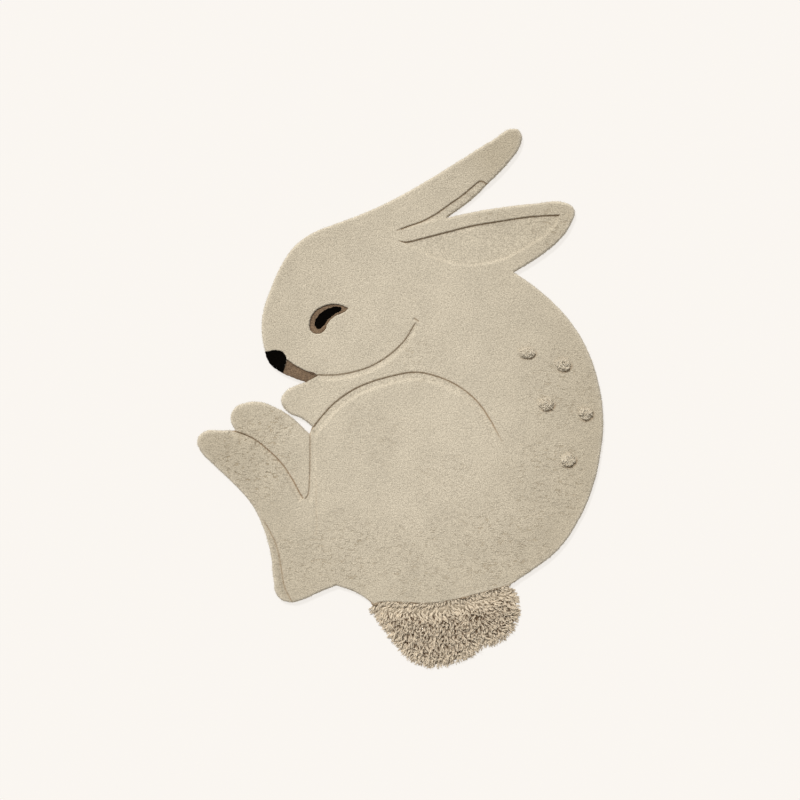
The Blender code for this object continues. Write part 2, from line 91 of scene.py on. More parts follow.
# %% Carved lines
CARVED = {
    "cheek": dict(
        depth=3.0, floor=7, reach=14, fade_start=0, fade_end=12,
        points=[
            (-18.4, 5.5), (-14.4, 5.5), (-10.6, 6.1), (-6.6, 7.4), (-2.7, 9.7), (0.7, 12.8), (2.4, 15.4),
            (3.6, 17.4),
        ],
    ),
    "cheek end": dict(
        depth=2.4, floor=3, reach=8, fade_start=3, fade_end=3,
        points=[(3.0, 18.2), (3.6, 17.8), (4.3, 17.2)],
    ),
    "haunch": dict(
        depth=3.6, floor=13, reach=20, fade_start=0, fade_end=70,
        points=[
            (-19.9, -6.9), (-17.7, -4.1), (-15.3, -1.4), (-12.2, 1.1), (-8.4, 3.2), (-3.3, 4.9), (3.3, 6.1),
            (8.4, 5.1), (13.3, 2.8), (17.3, -0.6), (20.1, -4.6), (22.1, -8.3), (23.7, -10.7),
        ],
    ),
    "far foot": dict(
        depth=4.2, floor=8, reach=15, fade_start=0, fade_end=3,
        points=[
            (-37.6, -6.6), (-32.8, -8.4), (-29.2, -11.1), (-26.1, -14.2), (-23.7, -17.8), (-22.1, -20.8),
            (-21.3, -22.0),
        ],
    ),
    "belly": dict(
        depth=2.3, floor=9, reach=17, fade_start=3, fade_end=0,
        points=[(-21.2, -22.1), (-20.4, -20.9), (-20.1, -17.4), (-20.0, -12.3), (-20.0, -7.0)],
    ),
    "heel": dict(
        depth=2.6, floor=3, reach=11, fade_start=30, fade_end=0,
        points=[
            (-30.9, -25.6), (-28.8, -29.1), (-27.2, -32.7), (-26.3, -37.1), (-25.5, -41.5), (-24.0, -44.6),
        ],
    ),
    "belly crest": dict(
        depth=0.9, floor=3, reach=9, fade_start=60, fade_end=6,
        points=[(-18.6, -15.0), (-18.5, -22.0), (-18.4, -28.5), (-18.7, -30.2)],
    ),
}

# %% [markdown]
# ## Ear hollows and tufts
#
# The inside of each ear is sheared lower, between a hard upper line and a soft lower
# one. The far ear's hollow runs off the rug, and outer points close it. A tuft has
# its centre in centimetres, then its width and height in millimetres.

# %% Hollows and tufts
EAR_HOLLOWS = {
    "far ear": dict(
        depth=3.2, soft=2.5, outer=[(20.8, 46.2), (12.6, 41.3)],
        lower=[(10.2, 40.3), (6.2, 39.3), (2.2, 38.1)],
        upper=[
            (-1.2, 37.3), (1.8, 38.5), (4.9, 39.6), (8.0, 41.3), (11.1, 43.5), (13.7, 45.3), (16.2, 47.4),
            (17.9, 48.5), (19.6, 47.6),
        ],
    ),
    "near ear": dict(
        depth=4.0, soft=3.6, outer=[],
        lower=[
            (35.2, 40.2), (34.8, 39.1), (32.8, 36.6), (29.2, 34.2), (25.5, 32.1), (22.1, 30.6), (17.7, 29.7),
            (12.8, 29.8), (8.2, 31.0), (3.3, 33.3),
        ],
        upper=[
            (-0.5, 35.3), (1.4, 35.0), (4.9, 35.8), (10.0, 37.1), (15.5, 38.5), (22.1, 39.6), (28.8, 40.6),
            (35.4, 41.0),
        ],
    ),
}
BACK_TUFTS = [
    (28.1, 10.3, 36, 24),
    (36.1, 7.7, 34, 29),
    (32.4, -1.0, 35, 28),
    (41.1, -3.1, 32, 29),
    (37.2, -13.3, 34, 31),
]
print(len(CARVED), "carved lines,", len(BACK_TUFTS), "tufts")

# %% [markdown]
# ## Curves as rows of points
#
# A smooth curve leaves each landmark in the direction from the one before to the
# one after. It is then cut at a fixed step, so that no line has denser pile.

# %% Curve helpers
def unit(vectors):
    """The same directions, each with a length of one."""
    return vectors / np.maximum(np.linalg.norm(vectors, axis=1, keepdims=True), 1e-12)


def smooth_path(landmarks, closed=False, per_span=12):
    points = np.array(landmarks, float)
    ahead, behind = np.roll(points, -1, 0), np.roll(points, 1, 0)
    slope = (ahead - behind) / 2
    if not closed:
        slope[0], slope[-1] = points[1] - points[0], points[-1] - points[-2]
    t = np.linspace(0, 1, per_span, endpoint=False)[:, None]
    rows = []
    for i in range(len(points) if closed else len(points) - 1):
        j = (i + 1) % len(points)
        span = np.linalg.norm(points[j] - points[i])
        a, b = (slope[k] * span / max(np.linalg.norm(slope[k]), 1e-9) for k in (i, j))
        rows.append(
            (2 * t**3 - 3 * t**2 + 1) * points[i] + (t**3 - 2 * t**2 + t) * a
            + (3 * t**2 - 2 * t**3) * points[j] + (t**3 - t**2) * b
        )
    if not closed:
        rows.append(points[-1:])
    return np.concatenate(rows)


def closed_up(path):
    """The same row of points, ending where it begins."""
    return np.concatenate([path, path[:1]])


def evenly(path, step, closed=False):
    line = closed_up(path) if closed else path
    along = np.concatenate([[0], np.cumsum(np.linalg.norm(np.diff(line, axis=0), axis=1))])
    count = max(2, int(round(along[-1] / step)))
    at = np.linspace(0, along[-1], count + (0 if closed else 1), endpoint=not closed)
    return np.stack([np.interp(at, along, line[:, k]) for k in (0, 1)], axis=1)


def left_normals(path, closed=False):
    run = unit(np.roll(path, -1, 0) - np.roll(path, 1, 0) if closed else np.gradient(path, axis=0))
    return np.stack([-run[:, 1], run[:, 0]], axis=1)


# %% [markdown]
# ## How far a point lies from a line
#
# Each carved step depends only on the distance to its line. `from_line` gives that
# distance, with a minus sign on the left, and how far along the line the nearest
# place is. Points beyond reach are skipped, which keeps ninety thousand points quick.

# %% Distance helpers
FAR = 1.0
PER_BATCH = 3000


def from_line(points, path, within, closed=False):
    line = closed_up(path) if closed else path
    distance, along = np.full(len(points), FAR), np.zeros(len(points))
    near = np.flatnonzero(((points > line.min(0) - within) & (points < line.max(0) + within)).all(1))
    a, run = line[:-1], np.diff(line, axis=0)
    square = np.maximum((run**2).sum(1), 1e-15)
    start = np.concatenate([[0], np.cumsum(np.sqrt(square))])[:-1]
    for part in np.array_split(near, max(1, len(near) // PER_BATCH)):
        gap = points[part][:, None] - a
        share = np.clip((gap * run).sum(2) / square, 0, 1)
        away = gap - share[..., None] * run
        size = np.linalg.norm(away, axis=2)
        best = size.argmin(1)
        row = np.arange(len(part))
        side = run[best, 1] * away[row, best, 0] - run[best, 0] * away[row, best, 1]
        distance[part] = size[row, best] * np.where(side >= 0, 1, -1)
        along[part] = start[best] + share[row, best] * np.sqrt(square[best])
    return distance, along


def gap_to(points, path, within=2 * CM, closed=True):
    """Distance to a line, on either side of it. Points beyond reach are FAR."""
    return np.abs(from_line(points, path, within, closed)[0])


def inside(points, outline):
    """Whether each point is inside a closed outline, by counting crossings."""
    found = np.zeros(len(points), bool)
    x, y = points[:, 0], points[:, 1]
    for (ax, ay), (bx, by) in zip(outline, np.roll(outline, -1, 0)):
        crosses = (ay > y) != (by > y)
        if ay != by:
            found ^= crosses & (x < (bx - ax) * (y - ay) / (by - ay) + ax)
    return found


# %% [markdown]
# ## Soft steps and bumps
#
# Nothing on a rug ends sharply, so each change goes over softly from 0 to 1, or
# rises and falls like a bell, and smooth random bumps keep any of it from being even.

# %% Helpers for soft shapes
def smooth_step(value, low, high):
    share = np.clip((value - low) / (high - low), 0, 1)
    return share * share * (3 - 2 * share)


def bell(distance, width):
    return np.exp(-((distance / width) ** 2))


def rough(points, width, seed=0.0):
    """Smooth random bumps of about that width, from -1 to 1."""
    return np.array([noise.noise((x, y, seed)) for x, y in (points / width).tolist()])


# %% [markdown]
# ## The outline comes from the CAD solid
#
# The border of the CAD pile's flat underside is the rabbit's outline, so the fine
# surface and the solid used for collision can't disagree. A border is the edges
# that only one face of the underside uses, put in a row.

# %% Read an outline
def outline_of(node):
    mesh = frame["nodes"][node].data
    place = np.array([v.co for v in mesh.vertices])
    low = place[:, 2].min()
    same = np.unique(np.round(place, 5), axis=0, return_inverse=True)[1].ravel()
    uses = {}
    for face in mesh.polygons:
        if max(place[i, 2] for i in face.vertices) < low + 0.01 * MM:
            ring = same[list(face.vertices)]
            for a, b in zip(ring, np.roll(ring, -1)):
                edge = (min(a, b), max(a, b))
                uses[edge] = uses.get(edge, 0) + 1
    after = {}
    for (a, b), count in uses.items():
        if count == 1:
            after.setdefault(a, []).append(b)
            after.setdefault(b, []).append(a)
    loop, last = [next(iter(after))], None
    while True:
        step = [v for v in after[loop[-1]] if v != last][0]
        if step == loop[0]:
            break
        last = loop[-1]
        loop.append(step)
    first = {number: i for i, number in reversed(list(enumerate(same)))}
    points = place[[first[v] for v in loop], :2]
    return points[::-1] if twice_area(points) > 0 else points


def twice_area(points):
    """Twice the area in an outline, above zero where it turns left."""
    x, y = points.T
    return (x * np.roll(y, -1) - np.roll(x, -1) * y).sum()


# %% [markdown]
# ## Inlaid fields and their pockets
#
# The outlines of nose, mouth and eye come from the CAD too, but their yarns don't
# end on a clean line: they step in and out by half a yarn. The cream pile has a
# slightly larger pocket for each field. The eye lies in its ring and needs none.

# %% Outlines of body, fields and pockets
YARN_STEP = 0.8 * MM
STEP_GAIN = 1.6
POCKET_MARGIN = 0.6
FIELD_NODES = ("nose_pile", "mouth_pile", "eye_ring_pile", "eye_pile")


def ragged(outline):
    fine = evenly(outline, 1.4 * MM, closed=True)
    step = YARN_STEP * rough(fine, 4.6 * MM, 21.0)
    return fine + left_normals(fine, closed=True) * step[:, None] * STEP_GAIN


RABBIT = outline_of("rabbit_pile")
FIELDS = {name: ragged(outline_of(name)) for name in FIELD_NODES}
POCKETS = {
    name: outline + left_normals(outline, closed=True) * POCKET_MARGIN * MM
    for name, outline in FIELDS.items() if name != "eye_pile"
}
print("outline points:", len(RABBIT), {name: len(points) for name, points in FIELDS.items()})

# %% [markdown]
# ## How one line is carved
#
# `carve_line` gives what a line takes off the pile, and how dark the pile is, since
# the foot of a wall hardly gets light. On the high side the cut yarns bend over a
# little. Past the ends of a line both die away in a round spot.

# %% Relief of a carved line
LINES = {name: smooth_path(line["points"]) * CM for name, line in CARVED.items()}
WALL_WIDTH = 0.9 * MM
BENT_OVER = 0.22


def carve_line(points, name):
    line, path = CARVED[name], LINES[name]
    depth, floor_end, slope_end = (line[k] * MM for k in ("depth", "floor", "reach"))
    side, along = from_line(points, path, slope_end + 5 * MM)
    length = np.linalg.norm(np.diff(path, axis=0), axis=1).sum()
    fade = np.ones(len(points))
    if line["fade_start"]:
        fade *= smooth_step(along, 0, line["fade_start"] * MM)
    if line["fade_end"]:
        fade *= smooth_step(length - along, 0, line["fade_end"] * MM)
    past_end = ((along <= 0) | (along >= length)) & (np.abs(side) < FAR)
    fade *= np.where(past_end, bell(side, 3 * MM), 1)
    slope = 1 - smooth_step(side, floor_end, slope_end)
    low = np.where(side > 0, smooth_step(side, 0.0, WALL_WIDTH) * slope, BENT_OVER * bell(side, 2 * MM))
    return depth * fade * low, fade * bell(side - 0.6 * MM, 1.4 * MM) * line["depth"] / 4


# %% [markdown]
# ## The whole relief
#
# The sheared pile is level, rounds over at its rim where the yarns have nothing
# beside them to lean on, and steps down at each line, hollow and pocket. Where it
# meets the tail, its edge is less even. Shade is also painted into its colour: at the
# foot of each wall, under the upper line of each ear hollow, in a broken line along
# the tail, and on the shaded side of each tuft.

# %% Heights of the carved pile
RIM_WIDTH = 5.5 * MM
RIM_DROP = 6.5 * MM
SEAM_RIM_WIDTH = RIM_WIDTH * 0.65
SEAM_DROP = 4.5 * MM
POCKET_DEPTH = 6.0 * MM
ROUNDNESS = 0.96
SHADE_SIDE = (0.5, -0.86)
TUFT_SHADE_AT, TUFT_SHADE_WIDTH = 1.12, 0.14
SEAM = CM * smooth_path([
    (24.1, -41.2), (20.8, -42.1), (16.8, -43.2), (12.2, -44.3), (7.1, -45.1), (1.1, -45.0), (-3.5, -44.8),
    (-5.9, -45.3),
])


def rim_fall(distance, width, drop):
    """How far the rim has dropped at that distance in from the edge."""
    share = np.clip(1 - distance / width, 0, 1)
    return drop * (1 - np.sqrt(1 - ROUNDNESS * share**2))


def tuft_shade(points, cx, cy, wide, high):
    local = (points - np.array((cx, cy)) * CM) / (np.array((wide, high)) * MM / 2)
    away = np.maximum(np.linalg.norm(local, axis=1), 1e-6)
    below = np.clip(local @ SHADE_SIDE / away, 0, 1)
    return 0.8 * below * bell(away - TUFT_SHADE_AT, TUFT_SHADE_WIDTH)


def carved_height(points):
    edge = gap_to(points, RABBIT)
    near_seam = gap_to(points, SEAM, 3 * CM, closed=False) < 2 * CM
    width = np.where(near_seam, SEAM_RIM_WIDTH, RIM_WIDTH)
    seam_drop = SEAM_DROP * (0.75 + 0.9 * rough(points, 16 * MM, 12.0))
    height = PILE_TOP - rim_fall(edge, width, np.where(near_seam, seam_drop, RIM_DROP))
    # Painted shade in a broken line along the edge at the tail.
    broken = np.clip(0.6 + 1.0 * rough(points, 13 * MM, 25.0), 0, 1)
    crease_shade = np.where(near_seam, bell(edge, 1.6 * MM) * broken, 0)
    # Each line also paints shade at the foot of its wall.
    for name in LINES:
        fall, dark = carve_line(points, name)
        height -= fall
        crease_shade = np.maximum(crease_shade, dark)
    for ear in EAR_HOLLOWS.values():
        upper, lower = smooth_path(ear["upper"]) * CM, smooth_path(ear["lower"]) * CM
        within = inside(points, np.concatenate([upper, np.reshape(ear["outer"], (-1, 2)) * CM, lower]))
        top, bottom = (gap_to(points, path, 3 * CM, closed=False) for path in (upper, lower))
        wall = ear["depth"] * MM * smooth_step(top, 0, 1.2 * MM)
        height -= np.where(within, wall * smooth_step(bottom, 0, ear["soft"] * MM), 0)
        # Painted shade under the upper line of the hollow.
        crease_shade = np.maximum(crease_shade, within * bell(top - 0.8 * MM, 1.9 * MM))
    # Painted shade on the side of each tuft away from the light.
    for tuft in BACK_TUFTS:
        crease_shade = np.maximum(crease_shade, tuft_shade(points, *tuft))
    for pocket in POCKETS.values():
        sheared = np.minimum(height, PILE_TOP - POCKET_DEPTH)
        height = np.where(inside(points, pocket), sheared, height)
    return height, crease_shade


# %% [markdown]
# ## Painted falloff shade and ruffles
#
# Painted shade: the pile is made browner and darker from the chest outward, as the
# light falls off towards the rim, with two spots darker still. Right at the rim this
# painted shade fades out, which paints a lighter band round the edge. Where a rug is
# folded for its journey, the pile stays ruffled in short streaks, sunk in the bump and
# painted darker as shade in their furrows. Both are stored as numbers on the surface.
# Each spot below has its place and its reach in centimetres, and its strength.

# %% Maps for painted falloff shade and ruffles
CHEST = np.array((0.0, 5.0)) * CM
CHEST_SHAPE = (1, 0.67)
FALLOFF_FROM, FALLOFF_TO, FALLOFF_MOST = 14 * CM, 42 * CM, 0.68
PAINTED_LIGHT_RIM = 11 * MM
# Two spots where the painted shade is darker still.
DARKER_SPOTS = [((23, 55), 12, 0.6), ((-35, -7), 12, 0.25)]
RUFFLED = [
    ((36, 2), 13, 0.55), ((33, -18), 14, 0.7), ((22, -33), 15, 0.75), ((5, -36), 14, 0.6),
    ((-12, -34), 12, 0.7), ((-24, -36), 10, 0.6), ((-33, -14), 13, 1.0), ((-28, -6), 7, 0.9),
    ((-6, -8), 9, 0.35), ((10, -18), 10, 0.4), ((20, 44), 9, 0.5), ((33, 38), 7, 0.7), ((4, 8), 8, 0.4),
]


def spots(points, listed, full_within):
    """For each listed spot, its strength at each point."""
    for centre, reach, strength in listed:
        away = np.linalg.norm(points / CM - centre, axis=1)
        yield strength * (1 - smooth_step(away, reach * full_within, reach))


def painted_falloff_shade(points):
    away = np.linalg.norm((points - CHEST) * CHEST_SHAPE, axis=1)
    outward = np.clip((away - FALLOFF_FROM) / (FALLOFF_TO - FALLOFF_FROM), 0, 1.2)
    shade = FALLOFF_MOST * outward**1.5 + 0.08 * rough(points, 90 * MM, 6.0)
    for spot in spots(points, DARKER_SPOTS, 0):
        shade += spot
    # Painted shade, faded out next to the rim, which paints a lighter band round the edge.
    return shade * smooth_step(gap_to(points, RABBIT), 0, PAINTED_LIGHT_RIM)


def ruffle_mask(points):
    mask = np.zeros(len(points))
    for spot in spots(points, RUFFLED, 0.35):
        mask = np.maximum(mask, spot)
    return np.clip(mask * (0.9 + 0.5 * rough(points, 30 * MM, 8.0)), 0, 1)


# %% [markdown]
# ## Where the points of a field lie
#
# The points of a pile surface are closely spaced rings round the rim, four rows
# along each carved line so that its wall stays steep, and a jittered grid
# elsewhere. Rings and rows are in millimetres from the rim or line.

# %% Points of a field
BODY_RINGS = (0.9, 2.2, 4.0, 6.2)
WALL_ROWS = (2.2, 0.25, -0.9, -2.4)
CLEAR_OF_LINE = 3.6 * MM
ROW_RISE = 0.866


def jittered_grid(outline, step, jitter):
    """A triangular grid over an outline's box, with each place pushed off its spot."""
    (x0, y0), (x1, y1) = outline.min(0), outline.max(0)
    columns, up = np.arange(x0, x1, step), np.arange(y0, y1, step * ROW_RISE)
    grid = np.array([(x + (step / 2 if k % 2 else 0), y) for k, y in enumerate(up) for x in columns])
    return grid + random.uniform(-jitter, jitter, grid.shape) * step


def pile_points(outline, step, lines, rings):
    edge = evenly(outline, step * 0.85, closed=True)
    inward = -left_normals(edge, closed=True)
    rows = [edge]
    for ring in rings:
        moved = edge + inward * ring * MM
        rows.append(moved[(gap_to(moved, edge) > ring * MM * 0.93) & inside(moved, edge)])
    for line in lines:
        middle = evenly(line, step * 0.7)
        aside = left_normals(middle)
        for offset in WALL_ROWS:
            moved = middle + aside * offset * MM
            rows.append(moved[inside(moved, edge) & (gap_to(moved, edge) > 1.5 * MM)])
    field = jittered_grid(edge, step, 0.28)
    keep = inside(field, edge) & (gap_to(field, edge) > (rings[-1] * MM + step * 0.5))
    for line in lines:
        keep &= gap_to(field, line, 0.01, closed=False) > CLEAR_OF_LINE
    rows.append(field[keep])
    return np.concatenate(rows), len(edge)


# %% [markdown]
# ## Pieces and their marks
#
# Every piece rides the root body. Numbers such as the painted falloff shade are stored
# on its points.

# %% Make a piece and mark it
def make_piece(name, points, faces, material):
    mesh = bpy.data.meshes.new(name)
    mesh.from_pydata(points.tolist(), [], faces)
    mesh.shade_smooth()
    mesh.materials.append(material)
    piece = bpy.data.objects.new(name, mesh)
    add_to_scene(piece)
    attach(piece, "root")
    return piece


def mark(piece, name, values):
    """Stores one number for each point of a piece, for its material to read."""
    attribute = piece.data.attributes.new(name, "FLOAT", "POINT")
    attribute.data.foreach_set("value", np.asarray(values, np.float32))


# %% [markdown]
# ## From heights to a surface
#
# A Delaunay triangulation joins the points, and a height function lifts them. Below
# the rim a short, slightly uneven side wall goes down, and the pile is closed
# underneath. At the tail the top hangs over the wall by a lip.

# %% Build one field of pile
WAIST = 0.45
# The side wall is painted darker towards its foot, as shade.
MIDDLE_SHADE, FOOT_SHADE = 0.06, 0.3


def pile_field(
    name, outline, step, height_at, foot, material,
    lines=(), rings=BODY_RINGS, grain=0.45, fray=0.5, lip=0.0,
):
    flat, count = pile_points(outline, step, lines, rings)
    given, rim = [Vector(p) for p in flat.tolist()], list(range(count))
    found, _, triangles, *_ = geometry.delaunay_2d_cdt(given, [], [rim], 1, 1e-7)
    flat = np.array([tuple(p) for p in found])
    height, crease_shade = height_at(flat)
    bumps = rough(flat, 4.5 * MM, 1.0) + 0.6 * rough(flat, 9 * MM, 5.0)
    height = height + (grain * bumps + 0.5 * grain * random.uniform(-1, 1, len(flat))) * MM
    top = np.column_stack([flat, height])
    low = top[:count].copy()
    outward = left_normals(low[:, :2], closed=True)
    shift = fray * rough(low[:, :2], 6 * MM, 9.0)
    if lip:
        at_seam = gap_to(low[:, :2], SEAM, closed=False) < 5 * MM
        over = lip * np.clip(1 + 2.6 * rough(low[:, :2], 12 * MM, 9.0), -0.1, 3)
        shift = np.where(at_seam, over, shift)
    top[:count, :2] += outward * (shift * MM)[:, None]
    middle = top[:count].copy()
    middle[:, 2] = foot + (height[:count] - foot) * WAIST
    middle[:, :2] += outward * (0.25 * rough(middle[:, :2], 3 * MM, 17.0) * MM)[:, None]
    low[:, 2] = foot
    points = np.concatenate([top, middle, low])
    a, b, n = np.arange(count), np.roll(np.arange(count), -1), len(top)
    faces = [tuple(t) for t in triangles]
    faces += np.column_stack([a, b, b + n, a + n]).tolist()
    faces += np.column_stack([a + n, b + n, b + n + count, a + n + count]).tolist()
    faces.append((a + n + count).tolist())
    piece = make_piece(name, points, faces, material)
    # Painted shade on the side wall, darkest at its foot.
    wall_shade = np.repeat((MIDDLE_SHADE, FOOT_SHADE), count)
    mark(piece, "crease_shade", np.concatenate([crease_shade, wall_shade]))
    mark(piece, "falloff_shade", painted_falloff_shade(points[:, :2]))
    mark(piece, "ruffle", ruffle_mask(points[:, :2]))
    print(f"{name}: {len(points)} points, {len(faces)} faces")
    return piece


# %% [markdown]
# ## Materials in few words
#
# A node is easier to read with its values and its links beside its kind.

# %% Helpers for materials
def add_node(tree, kind, inputs=(), operation=None):
    """A new node. Each input gets a plain value or another node's output."""
    made = tree.nodes.new(kind)
    if operation:
        made.operation = operation
    for title, given in dict(inputs).items():
        if isinstance(given, bpy.types.NodeSocket):
            tree.links.new(given, made.inputs[title])
        else:
            made.inputs[title].default_value = given
    return made


def maths(tree, operation, *terms):
    return add_node(tree, "ShaderNodeMath", enumerate(terms), operation).outputs["Value"]


def scaled(tree, colour, scale):
    return add_node(tree, "ShaderNodeVectorMath", {0: colour, "Scale": scale}, "SCALE").outputs["Vector"]


def stored(tree, title):
    """A number that mark() stored on the points."""
    made = tree.nodes.new("ShaderNodeAttribute")
    made.attribute_name = title
    return made.outputs["Fac"]


def spread(tree, source, low, high, to_low=0.0, to_high=1.0):
    ends = {"From Min": low, "From Max": high, "To Min": to_low, "To Max": to_high}
    return add_node(tree, "ShaderNodeMapRange", {"Value": source, **ends}).outputs["Result"]


def matt(name, **values):
    """A material with those values on its shader, its node tree and the shader."""
    material = bpy.data.materials.new(name)
    material.use_nodes = True
    shader = material.node_tree.nodes["Principled BSDF"]
    for title, value in values.items():
        shader.inputs[title.replace("_", " ")].default_value = value
    return material, material.node_tree, shader


# %% [markdown]
# ## Wool
#
# Cut wool is matt, with a faint sheen. Its look at arm's length is grain: the tips
# of the yarns are light and the gaps between them dark. One node group makes that
# grain for every wool on the rug. It also paints shade: brown at the foot of walls
# and in cracks, darker in the ruffles, which follow the contour lines of a stretched
# noise and break off and are sunk in the bump, and duller towards the rim as the
# light falls off.

# %% The grain shared by every wool
RUFFLE_SHADE_TINT = (0.76, 0.71, 0.64, 1)
FALLOFF_SHADE_TINT = (0.78, 0.762, 0.725, 1)
BUMP_HEIGHT = 0.0022


def wool_group():
    tree = bpy.data.node_groups.new("wool_grain", "ShaderNodeTree")
    socket = tree.interface.new_socket
    for title in ("Tips", "Gaps", "Shade"):
        socket(title, in_out="INPUT", socket_type="NodeSocketColor")
    for title in ("Grain", "Relief"):
        socket(title, in_out="INPUT", socket_type="NodeSocketFloat")
    socket("Colour", in_out="OUTPUT", socket_type="NodeSocketColor")
    socket("Normal", in_out="OUTPUT", socket_type="NodeSocketVector")
    given = tree.nodes.new("NodeGroupInput").outputs
    place = tree.nodes.new("ShaderNodeTexCoord").outputs["Object"]

    def texture(scale, detail, stretch=(1, 1, 1), turn=0.0):
        lie = {"Vector": place, "Rotation": (0, 0, turn), "Scale": stretch}
        lie = add_node(tree, "ShaderNodeMapping", lie).outputs["Vector"]
        look = {"Vector": lie, "Scale": scale, "Detail": detail, "Roughness": 0.6}
        return add_node(tree, "ShaderNodeTexNoise", look).outputs["Fac"]

    def mixed(share, a, b, blend="MIX"):
        made = add_node(tree, "ShaderNodeMix", {0: share, 6: a, 7: b})
        made.data_type = "RGBA"
        made.blend_type = blend
        return made.outputs[2]

    grain, swell = texture(given["Grain"], 3.0), texture(14.0, 2.0)
    contour = texture(66.0, 1.5, stretch=(0.6, 1.6, 1), turn=0.2)
    breaks = spread(tree, texture(75.0, 1.0), 0.44, 0.54)
    streak = maths(tree, "COMPARE", contour, 0.5, 0.022)
    ruffle = maths(tree, "MULTIPLY", maths(tree, "MULTIPLY", stored(tree, "ruffle"), streak), breaks)
    colour = mixed(spread(tree, grain, 0.36, 0.64), given["Gaps"], given["Tips"])
    # Painted shade: at the foot of walls, in cracks and along the tail.
    colour = mixed(stored(tree, "crease_shade"), colour, given["Shade"])
    # Ruffle streaks painted darker, as shade in their furrows.
    colour = mixed(ruffle, colour, RUFFLE_SHADE_TINT, "MULTIPLY")
    # Painted shade that grows towards the rim, as the light falls off.
    colour = mixed(stored(tree, "falloff_shade"), colour, FALLOFF_SHADE_TINT, "MULTIPLY")
    colour = scaled(tree, colour, spread(tree, swell, 0.35, 0.65, 0.955, 1.03))
    height = maths(tree, "MULTIPLY_ADD", ruffle, -0.9, grain)
    relief = {"Distance": BUMP_HEIGHT, "Strength": given["Relief"], "Height": height}
    bump = add_node(tree, "ShaderNodeBump", relief)
    add_node(tree, "NodeGroupOutput", {"Colour": colour, "Normal": bump.outputs["Normal"]})
    return tree


WOOL = wool_group()

# %% [markdown]
# ## The five wools
#
# Each wool has three colours: the light tips, the gaps between yarns, and a painted
# shade colour for the foot of a wall and other places that get little light. Black
# wool has no sheen, or it would look grey.

# %% Wool materials
GRAIN, RELIEF = 395.0, 0.75


def wool(name, tips, gaps, deep, sheen=0.15, shine=0.1):
    material, tree, shader = matt(
        name, Roughness=0.95, Specular_IOR_Level=shine, Sheen_Weight=sheen, Sheen_Roughness=0.6
    )
    grained = tree.nodes.new("ShaderNodeGroup")
    grained.node_tree = WOOL
    for title, colour in (("Tips", tips), ("Gaps", gaps), ("Shade", deep)):
        grained.inputs[title].default_value = (*colour, 1)
    grained.inputs["Grain"].default_value = GRAIN
    grained.inputs["Relief"].default_value = RELIEF
    tree.links.new(grained.outputs["Colour"], shader.inputs["Base Color"])
    tree.links.new(grained.outputs["Normal"], shader.inputs["Normal"])
    return material


# The third colour of each wool is painted shade, for the foot of walls and cracks.
OATMEAL = wool("oatmeal_wool", (0.712, 0.627, 0.484), (0.418, 0.363, 0.275), (0.29, 0.18, 0.088))
TUFT_WOOL = wool("tuft_wool", (0.62, 0.54, 0.415), (0.46, 0.395, 0.30), (0.22, 0.15, 0.095))
TAN = wool("tan_wool", (0.27, 0.181, 0.109), (0.114, 0.073, 0.043), (0.045, 0.026, 0.014))
BLACK = wool(
    "black_wool", (0.004, 0.0032, 0.0025), (0.002, 0.0015, 0.001), (0.001, 0.001, 0.001), sheen=0.0, shine=0.0
)
SHAG_CORE = wool("shag_core_wool", (0.56, 0.475, 0.355), (0.42, 0.345, 0.25), (0.11, 0.07, 0.04), sheen=0.0)

# %% [markdown]
# ## The body
#
# One field of pile covers head, ears, back, paw and feet, as it is shot in one go.
# Rows of points follow every wall in it. The belly crest is too faint for any.

# %% Make the carved body
PILE_STEP = 2.85 * MM
SEAM_LIP = 1.8
walls = [path for name, path in LINES.items() if name != "belly crest"]
walls += [smooth_path(ear["upper"]) * CM for ear in EAR_HOLLOWS.values()]
walls += [closed_up(pocket) for pocket in POCKETS.values()]
body = pile_field(
    "body_pile", RABBIT, PILE_STEP, carved_height, PILE_FOOT, OATMEAL,
    lines=walls, lip=SEAM_LIP,
)
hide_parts("rabbit_pile")

# %% [markdown]
# ## Nose, mouth and eye
#
# These fields are shot with other yarn through the same canvas. It is sheared lower
# than the cream round it, so each field takes a shadow along its upper edge, which is
# also painted into its colour as shade. Nose and mouth reach the rug's rim and round
# over with it.

# %% Heights of the coloured fields
LIGHT_SIDE = (-0.48, 0.88)


def under_wall(points, outline, edge):
    """Dark where the taller pile round a field throws its shade into it."""
    outward = left_normals(outline, closed=True)
    nearest = np.array([((outline - p) ** 2).sum(1).argmin() for p in points])
    faces_light = np.clip(outward[nearest] @ LIGHT_SIDE, 0, 1)
    return faces_light**0.5 * bell(edge, 2.8 * MM)


def level_field(top):
    def height_at(points, outline):
        edge = gap_to(points, outline)
        return top - rim_fall(edge, 3.0 * MM, 2.2 * MM), under_wall(points, outline, edge)

    return height_at


def rim_side_field(top):
    def height_at(points, outline):
        rim, edge = gap_to(points, RABBIT), gap_to(points, outline)
        cut = np.where(rim > 2 * MM, rim_fall(edge, 1.6 * MM, 1.2 * MM), 0)
        shaded = np.where(rim > 3 * MM, under_wall(points, outline, edge), 0)
        rim = np.where(inside(points, RABBIT), rim, 0)
        return np.minimum(top - cut, PILE_TOP - rim_fall(rim, RIM_WIDTH, RIM_DROP)), shaded

    return height_at


# %% [markdown]
# ## Setting the fields in
#
# At the rug's rim a field covers the cream pile by a millimetre, and the eye covers
# its ring in the same way, so that nothing shows between them.

